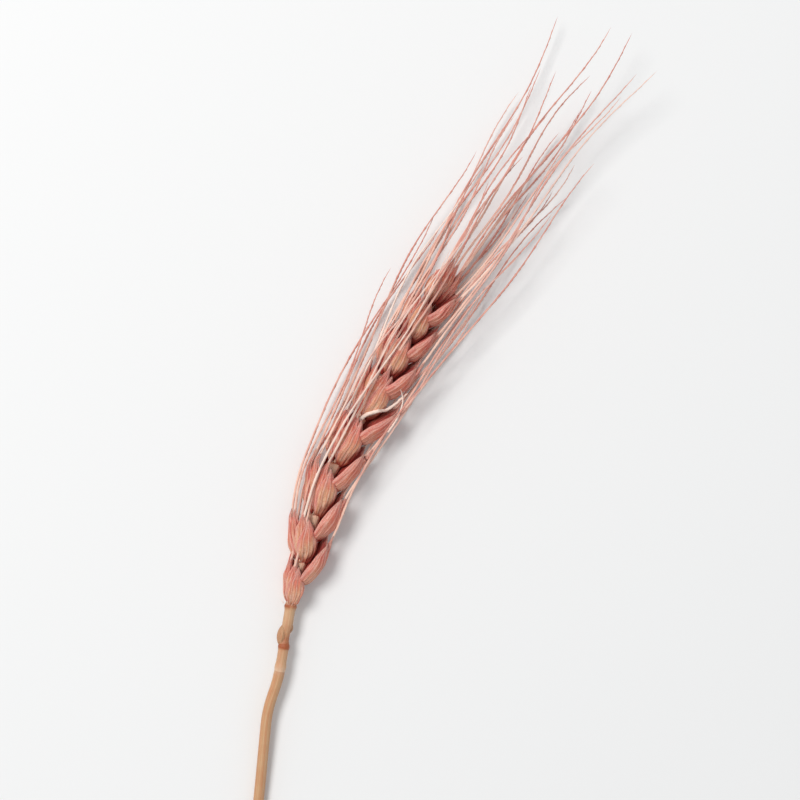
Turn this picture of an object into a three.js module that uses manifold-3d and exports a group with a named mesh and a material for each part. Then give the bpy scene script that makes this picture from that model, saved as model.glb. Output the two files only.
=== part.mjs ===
// One dried, bearded wheat ear on a short length of its own straw, lying on its side.
// Units are millimetres and +Z is up. The ear lies along +Y with its awns pointing forwards,
// and the origin is under the middle of the whole piece, on the surface that it lies on.

import * as THREE from 'three';
import { mergeVertices } from 'three/addons/utils/BufferGeometryUtils.js';
import Module from 'manifold-3d';

const wasm = await Module();
wasm.setup();

const DEGREE = Math.PI / 180;

// Places along the plant are distances from the ear's lowest spikelet, up towards the awns.
const STRAW_CUT = -62;
const COLLAR = -14.2;
const SCAR = -8.9;
const AWN_REACH = 150;
const LINE_STEP = 0.5;

// The line that the plant grew along: [place, heading in degrees from +Y towards +X].
const HEADINGS = [
  [STRAW_CUT, -16.5],
  [-27, -17.5],
  [-19, -4],
  [-12, -13.5],
  [-2, -13.5],
  [6, -6],
  [20, -6.5],
  [32, 5.5],
  [50, 7.5],
  [70, 9.5],
  [80, 11],
];

// Height of that line above the surface: [place, height].
const HEIGHTS = [
  [STRAW_CUT, 0.97],
  [0, 3.4],
  [25, 3.95],
  [55, 3.7],
  [80, 4.6],
  [AWN_REACH, 9],
];

// How far the ear is rolled about its own length.
const ROLL = 3 * DEGREE;

// Straw, with its wall ending in a short open bore at the cut.
const STRAW_RADIUS = 1.1;
const BORE_RADIUS = 0.6;
const BORE_DEPTH = 6;
const BORE_SIDES = 6;
const STRAW_SIDES = 12;
const STRAW_BENDS = [-48, -36, -27, -22, -17.5];
const COLLAR_RADIUS = 1.2;
const COLLAR_RISE = 1;
const COLLAR_LIP = 0.3;
const JOINT_GAP = 0.3;

// Rachis, the zigzag stalk that carries the spikelets.
const RACHIS_RADIUS = 0.8;
const RACHIS_SWAY = 0.35;
const RACHIS_SIDES = 8;
const RACHIS_END = 2;

// The bare stretch of it below the ear: [radius, place].
const BARE_STALK = [
  [1.1, COLLAR + JOINT_GAP],
  [COLLAR_RADIUS, COLLAR + 0.9],
  [1.08, COLLAR + 1.8],
  [1.1, SCAR - 1],
  [1.2, SCAR],
  [0.85, SCAR + 0.9],
  [0.82, -6.6],
  [1.1, -4.6],
  [1.12, -1.4],
  [1.3, -0.4],
];

// Spikelets stand left and right by turns, and the last one ends the ear. Each leans out by some
// degrees and has its own size. They are turned about their own length, the lowest ones unevenly.
const SPIKELET_LEANS = [1, 8, 15, 9, 7, 13, 8, 18, 5, 12, 8, 11, 9, 12, 0];
const SPIKELET_SIZES = [0.78, 1, 0.92, 1.04, 1, 1.03, 1, 1.04, 1, 1, 0.97, 0.94, 0.91, 0.88, 0.84];
const SPIKELETS = SPIKELET_LEANS.length;
const SPIKELET_START = 0.2;
const TURN_SPREAD = 5;
const LAST_OPENING = 0.6;
const TURNS = [
  [0, 12],
  [1, 40],
  [2, 26],
  [3, 36],
];

// Length of rachis from each spikelet to the next, by the spikelet's number from below.
const INTERNODES = [
  [0, 4.45],
  [5, 5.8],
  [10, 4.45],
];

// The florets of one spikelet: where each starts, which way it tips, its size and its awn's length.
const FLORETS = [
  { out: 0.4, up: 0.8, along: 0.2, lean: 5, tilt: 12, turn: 0, size: 1, sides: 6, awn: 62 },
  { out: 0.4, up: -0.8, along: 0.6, lean: 5, tilt: -12, turn: 0, size: 0.97, sides: 6, awn: 58 },
  { out: 0.6, up: 0.2, along: 2.4, lean: 7, tilt: 2, turn: 0, size: 0.86, sides: 5, awn: 50 },
];
const FLORET_PROFILE = [
  [0, 0],
  [1.7, 3.9],
  [1.55, 7.4],
  [0.75, 10.2],
  [0, 11.8],
];
const FLORET_DEPTH = 0.86;
const FLORET_LENGTH = FLORET_PROFILE.at(-1)[1];

// The two glumes, keeled boats that clasp the florets from both faces.
const GLUME_PROFILE = [
  [0, 0],
  [1.3, 0.8],
  [2.15, 3.7],
  [1.9, 7],
  [0.85, 9.5],
  [0, 11.2],
];
const GLUME_SIDES = 8;
const GLUME_DEPTH = 0.55;
const GLUME_INNER_DEPTH = 0.3;
const GLUME_BOW = 0.8;
const GLUME = { out: -0.3, up: 0.95, along: -0.3, lean: 1, tilt: 13, turn: 15, size: 1 };
const KEEL = 0.4;

// Bracts on the bare stretch below the ear: their place, side, size beside a whole glume, and how
// far each is turned from its side towards the ear's face.
const BRACTS = [
  { place: SCAR, side: -1, size: 0.45, turn: 140 },
  { place: -6, side: 1, size: 0.2, turn: 40 },
];

// Awns, the long bristles on the florets' tips.
const AWN_RADIUS = 0.3;
const AWN_SIDES = 3;
const AWN_SEGMENTS = 5;
const AWN_ROOT = 3;
const AWN_INSET = 1.6;
const AWN_SHORTEST = 0.86;
const AWN_LENGTH_SPREAD = 0.28;
const AWN_BUNCHING = 1.6;
const AWN_OPENING = 0.5;
const AWN_SPREAD = 0.085;
const AWN_CLOSEST = 0.35;
const AWN_FLARE = 6;
const AWN_CROSSING = 0.6;
const AWN_STRAY = 0.3;
const AWN_WAVE = 1.5;
const AWN_WAVE_TURNS = 7;
const AWN_WAVE_SHIFT = 6;
const AWN_LOWEST = 0.5;
const AWN_SETTLE = 2.5;

// A block that is larger than the whole piece, for cutting off what is below the surface.
const GROUND_SIDE = 600;
const GROUND_DEPTH = 60;

// Points closer than this are one point, and less than the next is no distance from the middle.
const SAME_POINT = 1e-4;
const OFF_MIDDLE = 0.01;

/** A number from 0 to 1 that is the same each time for the same two whole numbers. */
function draw(first, second) {
  const wave = Math.sin(first * 127.1 + second * 311.7 + 74.7) * 43758.5453;
  return wave - Math.floor(wave);
}

/** The same draw, spread evenly from -1 to 1. */
function sway(first, second) {
  return draw(first, second) * 2 - 1;
}

/** Smooth value at a place, from a list of [place, value] pairs. */
function along(pairs, place) {
  const next = pairs.findIndex(([limit]) => place <= limit);
  if (next === 0) {
    return pairs[0][1];
  }
  if (next < 0) {
    return pairs.at(-1)[1];
  }
  const [from, start] = pairs[next - 1];
  const [to, end] = pairs[next];
  return THREE.MathUtils.lerp(start, end, THREE.MathUtils.smoothstep(place, from, to));
}

/** The middle line of the whole plant, from the cut straw to the ends of the awns. */
class CentreLine extends THREE.Curve {
  constructor() {
    super();
    this.points = [];
    const walker = new THREE.Vector3();
    for (let place = STRAW_CUT; place <= AWN_REACH; place += LINE_STEP) {
      walker.z = along(HEIGHTS, place);
      this.points.push(walker.clone());
      const heading = along(HEADINGS, place + LINE_STEP / 2) * DEGREE;
      walker.x += Math.sin(heading) * LINE_STEP;
      walker.y += Math.cos(heading) * LINE_STEP;
    }
  }

  /** Point at a distance from the lowest spikelet. */
  at(place) {
    const steps = (place - STRAW_CUT) / LINE_STEP;
    const index = THREE.MathUtils.clamp(Math.floor(steps), 0, this.points.length - 2);
    return this.points[index].clone().lerp(this.points[index + 1], steps - index);
  }

  getPoint(t, target = new THREE.Vector3()) {
    return target.copy(this.at(STRAW_CUT + (AWN_REACH - STRAW_CUT) * t));
  }

  /** Directions at a place: onward, towards the right row, and out of the ear's face. */
  directions(place) {
    const onward = this.at(place + 1).sub(this.at(place - 1)).normalize();
    const level = onward.clone().cross(new THREE.Vector3(0, 0, 1)).normalize();
    const upright = level.clone().cross(onward);
    const row = level.clone().multiplyScalar(Math.cos(ROLL)).addScaledVector(upright, -Math.sin(ROLL));
    const face = upright.clone().multiplyScalar(Math.cos(ROLL)).addScaledVector(level, Math.sin(ROLL));
    return { onward, row, face };
  }

  /** Point beside the line: across towards the right row, and lifted out of the face. */
  beside(place, across, lift) {
    const { row, face } = this.directions(place);
    return this.at(place).addScaledVector(row, across).addScaledVector(face, lift);
  }
}

const line = new CentreLine();

/** Moves each vertex of a geometry to where the given function puts it. */
function reshape(geometry, move) {
  const { position } = geometry.attributes;
  const point = new THREE.Vector3();
  for (let i = 0; i < position.count; i += 1) {
    point.fromBufferAttribute(position, i);
    const moved = move(point);
    position.setXYZ(i, moved.x, moved.y, moved.z);
  }
  return geometry;
}

/** Six times the volume that a mesh encloses, negative where its faces point inwards. */
function signedVolume(points, corners) {
  const [a, b, c] = [new THREE.Vector3(), new THREE.Vector3(), new THREE.Vector3()];
  let sum = 0;
  for (let i = 0; i < corners.length; i += 3) {
    a.fromArray(points, corners[i] * 3);
    b.fromArray(points, corners[i + 1] * 3);
    c.fromArray(points, corners[i + 2] * 3);
    sum += a.dot(b.cross(c));
  }
  return sum;
}

/** Turns a closed geometry into a solid that can be joined and cut. */
function solidOf(geometry) {
  const bare = geometry.clone();
  bare.deleteAttribute('normal');
  bare.deleteAttribute('uv');
  const merged = mergeVertices(bare, SAME_POINT);
  const points = new Float32Array(merged.attributes.position.array);
  const corners = [];
  const index = merged.index.array;
  for (let i = 0; i < index.length; i += 3) {
    const [a, b, c] = [index[i], index[i + 1], index[i + 2]];
    if (a !== b && b !== c && c !== a) {
      corners.push(a, b, c);
    }
  }
  if (signedVolume(points, corners) < 0) {
    corners.reverse();
  }
  const triVerts = new Uint32Array(corners);
  return new wasm.Manifold(new wasm.Mesh({ numProp: 3, vertProperties: points, triVerts }));
}

/** Turns a joined solid back into a geometry. */
function geometryOf(solid) {
  const { vertProperties, triVerts } = solid.getMesh();
  const geometry = new THREE.BufferGeometry();
  geometry.setAttribute('position', new THREE.BufferAttribute(new Float32Array(vertProperties), 3));
  geometry.setIndex(new THREE.BufferAttribute(new Uint32Array(triVerts), 1));
  geometry.computeVertexNormals();
  return geometry;
}

/** A turned body from a list of [radius, height] pairs, standing on the origin along +Y. */
function turned(profile, sides) {
  const points = profile.map(([radius, height]) => new THREE.Vector2(radius, height));
  return new THREE.LatheGeometry(points, sides);
}

/** A stalk turned from [radius, place] pairs and laid along the plant's line. */
function stalk(profile, sides, swing = () => 0) {
  return reshape(turned(profile, sides), (point) => {
    return line.beside(point.y, point.x + swing(point.y), point.z);
  });
}

/** Removes whatever reaches below the surface, which leaves small flat spots to lie on. */
function settled(solid) {
  const ground = new THREE.BoxGeometry(GROUND_SIDE, GROUND_SIDE, GROUND_DEPTH);
  ground.translate(0, 0, -GROUND_DEPTH / 2);
  return solid.subtract(solidOf(ground));
}

/** Places of the spikelets along the rachis. */
function spikeletPlaces() {
  const places = [0];
  for (let i = 0; i < SPIKELETS - 1; i += 1) {
    places.push(places[i] + along(INTERNODES, i));
  }
  return places;
}

const places = spikeletPlaces();

/** Side that a spikelet stands on: 1 for the right row and -1 for the left row. */
function sideOf(number) {
  return number % 2 === 0 ? -1 : 1;
}

/** How far the rachis swings to the right at a place: towards each spikelet by turns. */
function rachisSwing(place) {
  const next = places.findIndex((limit) => place <= limit);
  if (next <= 0) {
    return 0;
  }
  const share = (place - places[next - 1]) / (places[next] - places[next - 1]);
  const from = sideOf(next - 1) * RACHIS_SWAY;
  return THREE.MathUtils.lerp(from, sideOf(next) * RACHIS_SWAY, share);
}

/** The frame of a spikelet: X out from the rachis, Y along the spikelet and Z to one face. */
function spikeletFrame(number) {
  const place = places[number];
  const { onward, row, face } = line.directions(place);
  const isLast = number === SPIKELETS - 1;
  const side = sideOf(number);
  const lean = SPIKELET_LEANS[number] * DEGREE;
  const outward = isLast ? face.clone() : row.clone().multiplyScalar(side);
  const start = line.beside(place, side * (isLast ? 0 : SPIKELET_START), 0);
  const axis = onward.clone().multiplyScalar(Math.cos(lean)).addScaledVector(outward, Math.sin(lean));
  const out = outward.multiplyScalar(Math.cos(lean)).addScaledVector(onward, -Math.sin(lean));
  const frame = new THREE.Matrix4().makeBasis(out, axis, out.clone().cross(axis));
  frame.setPosition(start);
  const turn = along(TURNS, number) + TURN_SPREAD * sway(number, 2);
  frame.multiply(new THREE.Matrix4().makeRotationY(turn * DEGREE));
  const size = SPIKELET_SIZES[number];
  return frame.scale(new THREE.Vector3(size, size, size));
}

/** The place of one part within its spikelet. */
function partFrame({ out, up, along: forward, lean, tilt, turn, size }, opening = 1) {
  const frame = new THREE.Matrix4().makeTranslation(out, forward, up);
  frame.multiply(new THREE.Matrix4().makeRotationX(tilt * opening * DEGREE));
  frame.multiply(new THREE.Matrix4().makeRotationZ(-lean * opening * DEGREE));
  frame.multiply(new THREE.Matrix4().makeRotationY(turn * DEGREE));
  return frame.scale(new THREE.Vector3(size, size, size));
}

/** A plump floret in its own frame, a little flatter than wide. */
function floret(sides) {
  return reshape(turned(FLORET_PROFILE, sides), (point) => {
    point.z *= FLORET_DEPTH;
    return point;
  });
}

/** A keeled glume in its own frame: flat inside, arched outside and bowed from end to end. */
function glume() {
  const length = GLUME_PROFILE.at(-1)[1];
  return reshape(turned(GLUME_PROFILE, GLUME_SIDES), (point) => {
    const middle = (point.y / length) * 2 - 1;
    const outside = point.z > OFF_MIDDLE;
    const keel = outside && point.x > OFF_MIDDLE ? KEEL * (1 - middle * middle) : 0;
    point.z *= outside ? GLUME_DEPTH : GLUME_INNER_DEPTH;
    point.z += keel + GLUME_BOW * (1 - middle * middle);
    return point;
  });
}

/** Where an awn goes once it has left its floret's tip, at a distance along the awn. */
function awnRoute(tip, direction, number, order, length) {
  let place = places[number] + tip.clone().sub(line.at(places[number])).dot(direction.onward);
  const centre = line.at(place);
  const { row, face } = line.directions(place);
  const away = tip.clone().sub(centre);
  const across = away.dot(row);
  const lift = away.dot(face);
  const radius = Math.hypot(across, lift);
  const start = Math.atan2(lift, across);
  const overFace = lift > 0 ? AWN_CROSSING * draw(number, order + 50) : 0;
  const stray = AWN_STRAY * sway(number, order + 20);
  const angle = THREE.MathUtils.lerp(start, Math.PI / 2, overFace) + stray;
  const spread = AWN_SPREAD * (AWN_CLOSEST + draw(number, order + 30));
  const opening = direction.slope - spread;
  return (distance) => {
    const share = distance / length;
    const flare = AWN_FLARE * (1 - Math.exp(-distance / AWN_FLARE));
    const reach = radius + spread * distance + opening * flare;
    const turn = THREE.MathUtils.lerp(start, angle, Math.sqrt(share));
    const swing = share * AWN_WAVE_TURNS + AWN_WAVE_SHIFT * draw(number, order + 40);
    const wave = AWN_WAVE * share * Math.sin(swing);
    const slant = reach * Math.cos(turn) + wave;
    const point = line.beside(place + distance, slant, reach * Math.sin(turn));
    const over = point.z - AWN_LOWEST;
    point.z = AWN_LOWEST + (over + Math.sqrt(over * over + AWN_SETTLE * AWN_SETTLE * share)) / 2;
    return point;
  };
}

/** One awn, a three-sided bristle that tapers to a point, rooted deep in its floret. */
function awn(frame, number, order) {
  const tip = new THREE.Vector3(0, FLORET_LENGTH - AWN_INSET, 0).applyMatrix4(frame);
  const base = new THREE.Vector3().applyMatrix4(frame);
  const heading = tip.clone().sub(base).normalize();
  const { onward } = line.directions(places[number]);
  const leaning = Math.acos(THREE.MathUtils.clamp(heading.dot(onward), -1, 1));
  const slope = AWN_OPENING * Math.tan(leaning);
  const stretch = AWN_SHORTEST + AWN_LENGTH_SPREAD * draw(number, order + 10);
  const length = FLORETS[order].awn * stretch;
  const route = awnRoute(tip, { onward, slope }, number, order, length);
  const whole = length + AWN_ROOT;
  const cone = new THREE.ConeGeometry(AWN_RADIUS, whole, AWN_SIDES, AWN_SEGMENTS);
  cone.translate(0, whole / 2, 0);
  return reshape(cone, (point) => {
    const share = Math.max(0, point.y / whole);
    const distance = whole * share ** AWN_BUNCHING - AWN_ROOT;
    const middle = distance < 0 ? tip.clone().addScaledVector(heading, distance) : route(distance);
    const { row, face } = line.directions(places[number]);
    return middle.addScaledVector(row, point.x).addScaledVector(face, point.z);
  });
}

/** One glume on a face of a spikelet: 1 for its own Z side and -1 for the other side. */
function glumeOn(frame, face, opening) {
  const mirror = new THREE.Matrix4().makeScale(1, 1, face);
  const placed = frame.clone().multiply(mirror).multiply(partFrame(GLUME, opening));
  return solidOf(glume().applyMatrix4(placed));
}

/** Two small dry bracts that never grew a spikelet, on the bare stretch below the ear. */
function bracts() {
  return BRACTS.map(({ place, side, size, turn }) => {
    const { onward, row } = line.directions(place);
    const out = row.multiplyScalar(side);
    const frame = new THREE.Matrix4().makeBasis(out, onward, out.clone().cross(onward));
    frame.setPosition(line.beside(place, side * RACHIS_RADIUS, 0));
    frame.multiply(new THREE.Matrix4().makeRotationY(turn * DEGREE));
    return solidOf(glume().applyMatrix4(frame.scale(new THREE.Vector3(size, size, size))));
  });
}

/** All the solids of one spikelet: two glumes, three florets and their awns. */
function spikelet(number) {
  const frame = spikeletFrame(number);
  const opening = number === SPIKELETS - 1 ? LAST_OPENING : 1;
  const solids = [];
  FLORETS.forEach((values, order) => {
    const placed = frame.clone().multiply(partFrame(values, opening));
    solids.push(solidOf(floret(values.sides).applyMatrix4(placed)));
    solids.push(solidOf(awn(placed, number, order)));
  });
  solids.push(glumeOn(frame, 1, opening), glumeOn(frame, -1, opening));
  return solids;
}

/** The stalk inside the ear, from the collar up to the last spikelet. */
function rachis() {
  const profile = [[0, BARE_STALK[0][1]], ...BARE_STALK];
  for (const place of places) {
    profile.push([RACHIS_RADIUS, place]);
  }
  profile.push([0, places.at(-1) + RACHIS_END]);
  return solidOf(stalk(profile, RACHIS_SIDES, rachisSwing));
}

/** The straw below the collar, cut off plainly with its bore showing. */
function straw() {
  const body = stalk([
    [0, STRAW_CUT],
    [STRAW_RADIUS, STRAW_CUT],
    ...STRAW_BENDS.map((place) => [STRAW_RADIUS, place]),
    [(STRAW_RADIUS + COLLAR_RADIUS) / 2, COLLAR - COLLAR_RISE],
    [COLLAR_RADIUS, COLLAR - COLLAR_LIP],
    [STRAW_RADIUS, COLLAR],
    [0, COLLAR],
  ], STRAW_SIDES);
  const bore = stalk([
    [0, STRAW_CUT - 1],
    [BORE_RADIUS, STRAW_CUT - 1],
    [BORE_RADIUS, STRAW_CUT + BORE_DEPTH],
    [0, STRAW_CUT + BORE_DEPTH + 1],
  ], BORE_SIDES);
  return settled(solidOf(body).subtract(solidOf(bore)));
}

/** The whole head in one body. */
function ear() {
  let head = rachis();
  for (const bract of bracts()) {
    head = head.add(bract);
  }
  for (let number = 0; number < SPIKELETS; number += 1) {
    for (const solid of spikelet(number)) {
      head = head.add(solid);
    }
  }
  return settled(head);
}

/** A named mesh of one solid. */
function piece(name, solid, colour, roughness) {
  const material = new THREE.MeshStandardMaterial({ color: colour, roughness, metalness: 0 });
  const mesh = new THREE.Mesh(geometryOf(solid), material);
  mesh.name = name;
  return mesh;
}

const wheat = new THREE.Group();
wheat.add(piece('stem', straw(), 0xd9bd8c, 0.55));
wheat.add(piece('ear', ear(), 0xcf978c, 0.7));

const box = new THREE.Box3().setFromObject(wheat);
const centre = box.getCenter(new THREE.Vector3());
wheat.position.set(-centre.x, -centre.y, -box.min.z);

export default wheat;
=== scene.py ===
# %% [markdown]
# # A dried wheat ear, dyed dusty pink
#
# One bearded wheat ear lies on its side on a pale floor, and the camera looks down on it. The
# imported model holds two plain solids: the stem, and the whole ear in one body. This lesson
# replaces both with fine pieces that keep their form: thin husks with ribs and a keel, awns with
# barbs, the zigzag stalk inside the ear with its tufts of hair, the straw with its rings, and two
# loose ends of awn that lie across the ear.

from math import acos, atan2, cos, exp, floor, hypot, pi, sin, sqrt, tan

import bpy
from mathutils import Matrix, Vector, noise
from mathutils.bvhtree import BVHTree


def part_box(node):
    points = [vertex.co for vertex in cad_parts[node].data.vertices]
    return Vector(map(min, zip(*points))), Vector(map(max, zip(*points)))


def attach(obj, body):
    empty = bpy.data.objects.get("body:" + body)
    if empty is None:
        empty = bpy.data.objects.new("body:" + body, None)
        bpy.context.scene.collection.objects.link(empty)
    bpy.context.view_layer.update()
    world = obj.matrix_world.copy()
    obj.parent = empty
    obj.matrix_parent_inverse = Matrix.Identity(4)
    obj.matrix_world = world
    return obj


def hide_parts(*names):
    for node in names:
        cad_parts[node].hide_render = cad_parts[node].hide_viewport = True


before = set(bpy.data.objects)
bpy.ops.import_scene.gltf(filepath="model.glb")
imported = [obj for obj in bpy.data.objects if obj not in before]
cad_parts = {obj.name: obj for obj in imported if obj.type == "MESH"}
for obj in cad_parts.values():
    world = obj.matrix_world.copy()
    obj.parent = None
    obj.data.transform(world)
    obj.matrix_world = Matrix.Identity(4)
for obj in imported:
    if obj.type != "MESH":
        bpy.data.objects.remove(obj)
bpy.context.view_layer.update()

# %% [markdown]
# ## Real sizes
#
# Blender works in metres here, and a wheat ear is small, so sizes are written in millimetres and
# multiplied by MM. Places along the plant are distances from the lowest spikelet, negative down
# the straw and positive up towards the awns. They are the same values that the solids are built
# from, because every fine piece has to sit where its solid sits.

# %% Driving dimensions
MM = 0.001
DEGREE = pi / 180

STRAW_CUT = -62 * MM
COLLAR = -14.2 * MM
SCAR = -8.9 * MM
AWN_REACH = 150 * MM
LINE_STEP = 0.5 * MM

STRAW_RADIUS = 1.1 * MM
BORE_RADIUS = 0.6 * MM
BORE_DEPTH = 6 * MM
RACHIS_RADIUS = 0.8 * MM
RACHIS_SWAY = 0.35 * MM

SPIKELET_LEANS = [1, 8, 15, 9, 7, 13, 8, 18, 5, 12, 8, 11, 9, 12, 0]
SPIKELET_SIZES = [0.78, 1, 0.92, 1.04, 1, 1.03, 1, 1.04, 1, 1, 0.97, 0.94, 0.91, 0.88, 0.84]
SPIKELETS = len(SPIKELET_LEANS)
INTERNODES = [(0, 4.45 * MM), (5, 5.8 * MM), (10, 4.45 * MM)]
SPIKELET_START = 0.2 * MM
TURNS = [(0, 12), (1, 40), (2, 26), (3, 36)]
TURN_SPREAD = 5
ROLL = 3 * DEGREE
LAST_OPENING = 0.6
FLORET_LENGTH = 11.8 * MM
AWN_INSET = 1.6 * MM
AWN_LEAVES = FLORET_LENGTH - AWN_INSET
SAME_PLACE = 0.01 * MM
print(f"the ear has {SPIKELETS} spikelets on a straw {2 * STRAW_RADIUS / MM:.1f} mm thick")

# %% [markdown]
# ## The line that the plant grew along
#
# A stem doesn't grow straight. One line runs through the straw, the ear and the awns, and every
# piece is placed beside it, so the whole plant bends together. The line could be a Blender curve,
# but two short tables, of headings and of heights, are easier to read and give the same line as
# the solids have. A table's values are eased from one to the next, then added up step by step.

# %% Tables of headings and heights
HEADINGS = [
    (STRAW_CUT, -16.5), (-27 * MM, -17.5), (-19 * MM, -4), (-12 * MM, -13.5), (-2 * MM, -13.5),
    (6 * MM, -6), (20 * MM, -6.5), (32 * MM, 5.5), (50 * MM, 7.5), (70 * MM, 9.5), (80 * MM, 11),
]
HEIGHTS = [
    (STRAW_CUT, 0.97 * MM), (0, 3.4 * MM), (25 * MM, 3.95 * MM), (55 * MM, 3.7 * MM),
    (80 * MM, 4.6 * MM), (AWN_REACH, 9 * MM),
]


def eased(pairs, place):
    """Smooth value at a place, from a list of (place, value) pairs."""
    if place <= pairs[0][0]:
        return pairs[0][1]
    for (start, low), (end, high) in zip(pairs, pairs[1:]):
        if place <= end:
            share = (place - start) / (end - start)
            return low + (high - low) * share * share * (3 - 2 * share)
    return pairs[-1][1]


def draw(first, second):
    """A number from 0 to 1 that is the same each time for the same two whole numbers."""
    wave = sin(first * 127.1 + second * 311.7 + 74.7) * 43758.5453
    return wave - floor(wave)


def sway(first, second):
    """The same draw, spread evenly from -1 to 1."""
    return draw(first, second) * 2 - 1


def swing(first, second, angle):
    """The direction that lies at an angle from the first one, towards the second."""
    return first * cos(angle) + second * sin(angle)


# %% Walk the line, starting where the cut end of the straw is
def line_start():
    """The line's first point, found from the stem solid: its lower right corner is the cut's rim."""
    low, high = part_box("stem")
    first = abs(HEADINGS[0][1]) * DEGREE
    rim = STRAW_RADIUS * cos(ROLL)
    return high.x - rim * cos(first), low.y + rim * sin(first)


def walk_line():
    """Points of the line, one each half millimetre."""
    x, y = line_start()
    points = []
    for number in range(round((AWN_REACH - STRAW_CUT) / LINE_STEP) + 1):
        place = STRAW_CUT + number * LINE_STEP
        points.append(Vector((x, y, eased(HEIGHTS, place))))
        heading = eased(HEADINGS, place + LINE_STEP / 2) * DEGREE
        x += sin(heading) * LINE_STEP
        y += cos(heading) * LINE_STEP
    return points


LINE = walk_line()


def line_at(place):
    """Point of the line at a distance from the lowest spikelet."""
    steps = (place - STRAW_CUT) / LINE_STEP
    index = min(max(floor(steps), 0), len(LINE) - 2)
    return LINE[index].lerp(LINE[index + 1], steps - index)


def directions(place):
    """Directions at a place: onward, towards the right row, and out of the ear's face."""
    onward = (line_at(place + MM) - line_at(place - MM)).normalized()
    level = onward.cross(Vector((0, 0, 1))).normalized()
    upright = level.cross(onward)
    return onward, swing(level, -upright, ROLL), swing(upright, level, ROLL)


def beside(place, across, lift):
    """Point beside the line: across towards the right row, and lifted out of the face."""
    _, row, face = directions(place)
    return line_at(place) + row * across + face * lift


EAR_FOOT = line_at(0)
print("the lowest spikelet is at", tuple(round(value / MM, 1) for value in EAR_FOOT), "mm")

# %% [markdown]
# ## Camera, floor and light
#
# The photograph looks at the ear square on. Here it lies down, so the camera hangs straight above
# it. Its turn about the vertical gives the ear the same lean in the picture, and the distance
# gives it the same size. A long lens keeps the two ends from looking stretched.

# %% Camera above the ear
PICTURE = 800
PIXELS_PER_MM = 4.8
EAR_FOOT_PIXEL = (291, 604)
CAMERA_TURN = 23 * DEGREE
LENS = 100
SENSOR = 36
CLIP_START = 10 * MM
picture_right = Vector((cos(CAMERA_TURN), sin(CAMERA_TURN), 0))
picture_up = Vector((-sin(CAMERA_TURN), cos(CAMERA_TURN), 0))


def from_middle(u, v):
    """How far a point of the picture, in pixels, is from the picture's middle, in metres."""
    across = (u - PICTURE / 2) / PIXELS_PER_MM * MM
    upward = (PICTURE / 2 - v) / PIXELS_PER_MM * MM
    return picture_right * across + picture_up * upward


def add_object(name, data):
    """An object in the scene, with this data."""
    piece = bpy.data.objects.new(name, data)
    bpy.context.scene.collection.objects.link(piece)
    return piece


picture_middle = EAR_FOOT - from_middle(*EAR_FOOT_PIXEL)
camera_height = PICTURE / PIXELS_PER_MM * MM * LENS / SENSOR
camera_data = bpy.data.cameras.new("camera")
camera_data.lens = LENS
camera_data.sensor_width = SENSOR
camera_data.clip_start = CLIP_START
camera = add_object("camera", camera_data)
camera.location = picture_middle + Vector((0, 0, camera_height))
camera.rotation_euler = (0, 0, CAMERA_TURN)
bpy.context.scene.camera = camera
print(f"the camera is {camera_height / MM:.0f} mm above the ear")

# %% [markdown]
# The background is bright and even, and the husks have clear light and shade sides, so the light
# is one large soft lamp at the picture's upper left over a bright sky. The view transform is
# Standard, because the dye's colours should come out as they are set.

# %% Floor, sky and lamp
FLOOR_SIZE = 6
FLOOR_COLOUR = (0.86, 0.865, 0.87, 1)
FLOOR_ROUGHNESS = 0.9
SKY_COLOUR = (0.97, 0.985, 1, 1)
SKY_LIGHT = 0.52
LAMP_COLOUR = (1, 0.985, 0.96)
LAMP_ENERGY = 9.6
LAMP_WIDTH = 520 * MM
LAMP_DISTANCE = 1200 * MM
LAMP_ASIDE = -0.62
LAMP_UPWARD = 0.5
LAMP_ABOVE = 1.3


def make_floor():
    """A pale sheet far wider than the picture."""
    bpy.ops.object.select_all(action="DESELECT")
    bpy.ops.mesh.primitive_plane_add(size=FLOOR_SIZE, location=(0, 0, 0))
    sheet = bpy.context.object
    sheet.name = "floor"
    paper = bpy.data.materials.new("floor_paper")
    paper.use_nodes = True
    surface = paper.node_tree.nodes["Principled BSDF"].inputs
    surface["Base Color"].default_value = FLOOR_COLOUR
    surface["Roughness"].default_value = FLOOR_ROUGHNESS
    sheet.data.materials.append(paper)


def make_light():
    """An even sky and a soft lamp that shines from the picture's upper left."""
    world = bpy.data.worlds.new("sky")
    world.use_nodes = True
    bpy.context.scene.world = world
    background = world.node_tree.nodes["Background"].inputs
    background["Color"].default_value = SKY_COLOUR
    background["Strength"].default_value = SKY_LIGHT
    lamp_data = bpy.data.lights.new("lamp", "AREA")
    lamp_data.shape = "DISK"
    lamp_data.size = LAMP_WIDTH
    lamp_data.energy = LAMP_ENERGY
    lamp_data.color = LAMP_COLOUR
    lamp = add_object("lamp", lamp_data)
    away = LAMP_ASIDE * picture_right + LAMP_UPWARD * picture_up + Vector((0, 0, LAMP_ABOVE))
    lamp.location = picture_middle + away.normalized() * LAMP_DISTANCE
    lamp.rotation_euler = (-away).to_track_quat("-Z", "Y").to_euler()


make_floor()
make_light()
bpy.context.scene.view_settings.view_transform = "Standard"
print(f"the lamp is {LAMP_WIDTH / MM:.0f} mm wide and {LAMP_DISTANCE / MM:.0f} mm away")

# %% [markdown]
# ## Effects that several materials share
#
# Dyed husks, awns and straw are one tissue: fibres run lengthwise, and the dye took unevenly.
# Each effect is a node group, built once. The groups put out only masks from 0 to 1, and each
# material says which colours the masks mix. Nodes could be linked one by one, but a mask is
# easier to read as a sum. So an output of a node is wrapped as a Wire, and sums and products of
# wires become Math nodes.

# %% Wires between nodes
def feed(socket, value):
    """Links a wire into a socket, or sets a plain value."""
    if isinstance(value, Wire):
        value.tree.links.new(value.socket, socket)
    else:
        socket.default_value = value


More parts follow.
